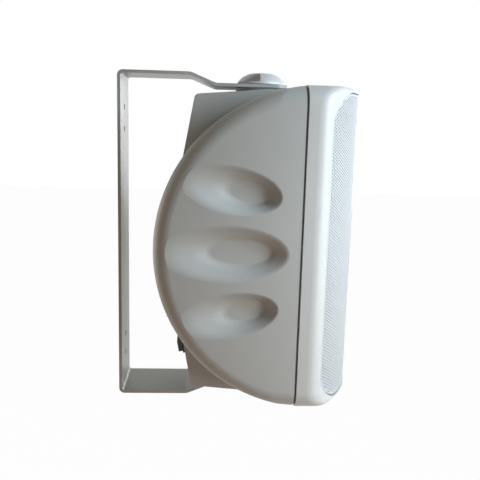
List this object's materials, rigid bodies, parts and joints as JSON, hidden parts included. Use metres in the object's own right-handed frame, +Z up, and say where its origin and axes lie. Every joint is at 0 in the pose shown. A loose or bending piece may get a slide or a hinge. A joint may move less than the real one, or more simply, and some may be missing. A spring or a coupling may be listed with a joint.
{
  "type": "wall speaker",
  "caption": "Bowed-front moulded wall speaker with dished round cheeks, swivelling between the arms of a folded sheet-metal wall bracket on thumb-knob pivots.",
  "frame": {"origin": "centre of the bracket's rear face, where it meets the wall", "axes": "+Z up, +Y into the wall, the speaker's front looks along -Y"},
  "size_m": [0.1692, 0.1984, 0.2768],
  "materials": {
    "bracket_steel": "satin",
    "case_plastic": "matte",
    "frame_plastic": "satin",
    "grille_steel": "satin",
    "knob_plastic": "satin",
    "seal_rubber": "matte",
    "bright_steel": "satin",
    "black_screws": "satin",
    "insert_brass": "satin",
    "basket_steel": "satin",
    "ferrite": "matte",
    "surround_rubber": "matte",
    "spider_cloth": "matte",
    "cone_paper": "matte",
    "coil_copper": "satin",
    "dome_silk": "matte",
    "black_plastic": "satin",
    "red_plastic": "satin",
    "board_laminate": "satin",
    "capacitor_film": "gloss",
    "resistor_ceramic": "matte",
    "lead_insulation": "satin"
  },
  "bodies": {
    "bracket": {"bracket": "bracket_steel", "top_friction_washer": "seal_rubber", "bottom_friction_washer": "seal_rubber", "top_knob_washer": "bright_steel", "bottom_knob_washer": "bright_steel"},
    "speaker": {"rear_case": "case_plastic", "top_insert": "insert_brass", "bottom_insert": "insert_brass", "case_seal": "seal_rubber", "front_frame": "frame_plastic", "grille": "grille_steel", "woofer_basket": "basket_steel", "woofer_top_plate": "bright_steel", "woofer_magnet": "ferrite", "woofer_yoke": "bright_steel", "woofer_surround": "surround_rubber", "woofer_spider": "spider_cloth", "tweeter_face": "black_plastic", "tweeter_top_plate": "bright_steel", "tweeter_magnet": "ferrite", "tweeter_yoke": "bright_steel", "left_port": "black_plastic", "right_port": "black_plastic", "crossover_board": "board_laminate", "crossover_choke": "coil_copper", "crossover_capacitor": "capacitor_film", "crossover_resistor": "resistor_ceramic", "terminal_housing": "black_plastic", "terminal_contacts": "insert_brass", "terminal_screws": "black_screws", "woofer_screws": "black_screws", "tweeter_screws": "black_screws", "frame_screws": "black_screws", "board_screws": "bright_steel", "terminal_leads": "lead_insulation", "woofer_leads": "lead_insulation", "tweeter_leads": "lead_insulation"},
    "top_knob": {"top_knob": "knob_plastic", "top_stud": "bright_steel"},
    "bottom_knob": {"bottom_knob": "knob_plastic", "bottom_stud": "bright_steel"},
    "woofer_diaphragm": {"woofer_cone": "cone_paper", "woofer_coil": "coil_copper", "woofer_dust_cap": "cone_paper"},
    "tweeter_diaphragm": {"tweeter_dome": "dome_silk", "tweeter_coil": "coil_copper"},
    "black_lever": {"black_lever": "black_plastic"},
    "red_lever": {"red_lever": "red_plastic"}
  },
  "joints": [
    {"name": "speaker_pan", "type": "hinge", "parent": "bracket", "child": "speaker", "pos_m": [0, -0.11685, 0], "axis": [0, 0, 1], "range_deg": [-90, 90]},
    {"name": "top_knob_turn", "type": "hinge", "parent": "bracket", "child": "top_knob", "pos_m": [0, -0.11685, 0.1292], "axis": [0, 0, 1], "range_deg": [0, 540]},
    {"name": "bottom_knob_turn", "type": "hinge", "parent": "bracket", "child": "bottom_knob", "pos_m": [0, -0.11685, -0.1292], "axis": [0, 0, -1], "range_deg": [0, 540]},
    {"name": "woofer_stroke", "type": "slide", "parent": "speaker", "child": "woofer_diaphragm", "axis": [0, -1, 0], "range_m": [-0.003, 0.003], "stiffness_N_per_m": 1400, "deforming": ["woofer_surround", "woofer_spider"]},
    {"name": "tweeter_stroke", "type": "slide", "parent": "speaker", "child": "tweeter_diaphragm", "axis": [0, -1, 0], "range_m": [-0.0003, 0.0003], "stiffness_N_per_m": 400},
    {"name": "black_lever_press", "type": "hinge", "parent": "speaker", "child": "black_lever", "pos_m": [-0.0115, -0.05266, -0.0883], "axis": [-1, 0, 0], "range_deg": [0, 18], "stiffness_Nm_per_rad": 0.08},
    {"name": "red_lever_press", "type": "hinge", "parent": "speaker", "child": "red_lever", "pos_m": [0.0115, -0.05266, -0.0883], "axis": [-1, 0, 0], "range_deg": [0, 18], "stiffness_Nm_per_rad": 0.08}
  ]
}
